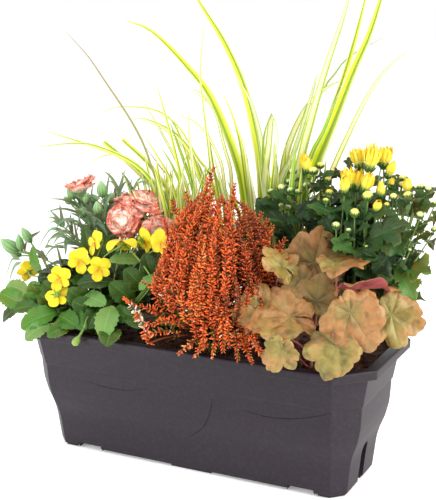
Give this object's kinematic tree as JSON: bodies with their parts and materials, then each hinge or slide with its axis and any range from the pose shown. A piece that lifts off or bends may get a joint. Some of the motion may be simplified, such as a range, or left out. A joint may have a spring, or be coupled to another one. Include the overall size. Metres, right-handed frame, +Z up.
{
  "type": "planted window box",
  "caption": "Eight-sided plastic balcony box with lip and feet, filled with soil and planted with flowers, heather, striped grasses and coral bells.",
  "frame": {"origin": "middle of the underside of the box's centre foot, on the ground", "axes": "+Z up, X along the box, -Y towards the front side with the violas, heather and coral bells"},
  "size_m": [0.5055, 0.182, 0.5141],
  "materials": {
    "box_plastic": "anthracite moulded plastic with a soft sheen",
    "soil": "moist dark potting soil with fibres and bark",
    "roots": "root ball and stem bases, rough and brown",
    "leaf": "fresh green leaves, satin on top and matt below",
    "grass_blade": "green and cream striped blades",
    "yellow_petal": "matt yellow petals",
    "coral_petal": "ruffled coral petals flecked with white",
    "bud_green": "waxy blue-green buds",
    "heather_flower": "dense burnt-orange heather flowers",
    "heuchera_leaf": "amber lobed leaves with olive veins and rosy undersides"
  },
  "bodies": {
    "root": {"planter_box": "box_plastic", "potting_soil": "soil", "broad_grass_crown": "roots", "chrysanthemum_crown": "roots", "dianthus_crown": "roots", "fine_grass_crown": "roots", "heather_crown": "roots", "heuchera_crown": "roots", "viola_crown": "roots", "broad_grass_blade_1": "grass_blade", "broad_grass_blade_2": "grass_blade", "broad_grass_blade_3": "grass_blade", "broad_grass_blade_4": "grass_blade", "broad_grass_blade_5": "grass_blade", "broad_grass_blade_6": "grass_blade", "broad_grass_blade_7": "grass_blade", "broad_grass_blade_8": "grass_blade", "chrysanthemum_flower_1": "yellow_petal", "chrysanthemum_flower_2": "yellow_petal", "chrysanthemum_flower_3": "yellow_petal", "chrysanthemum_flower_4": "yellow_petal", "chrysanthemum_flower_5": "yellow_petal", "chrysanthemum_foliage": "leaf", "dianthus_bud_1": "bud_green", "dianthus_bud_2": "bud_green", "dianthus_flower_1": "coral_petal", "dianthus_flower_2": "coral_petal", "dianthus_flower_3": "coral_petal", "dianthus_flower_4": "coral_petal", "dianthus_foliage": "leaf", "fine_grass_blade_1": "grass_blade", "fine_grass_blade_2": "grass_blade", "fine_grass_blade_3": "grass_blade", "fine_grass_blade_4": "grass_blade", "fine_grass_tuft": "grass_blade", "heather_bush": "heather_flower", "heather_spike_1": "heather_flower", "heather_spike_2": "heather_flower", "heather_spike_3": "heather_flower", "heather_spike_4": "heather_flower", "heuchera_leaf_1": "heuchera_leaf", "heuchera_leaf_10": "heuchera_leaf", "heuchera_leaf_11": "heuchera_leaf", "heuchera_leaf_2": "heuchera_leaf", "heuchera_leaf_3": "heuchera_leaf", "heuchera_leaf_4": "heuchera_leaf", "heuchera_leaf_5": "heuchera_leaf", "heuchera_leaf_6": "heuchera_leaf", "heuchera_leaf_7": "heuchera_leaf", "heuchera_leaf_8": "heuchera_leaf", "heuchera_leaf_9": "heuchera_leaf", "viola_flower_1": "yellow_petal", "viola_flower_2": "yellow_petal", "viola_flower_3": "yellow_petal", "viola_flower_4": "yellow_petal", "viola_flower_5": "yellow_petal", "viola_flower_6": "yellow_petal", "viola_flower_7": "yellow_petal", "viola_flower_8": "yellow_petal", "viola_foliage": "leaf"}
  },
  "joints": []
}
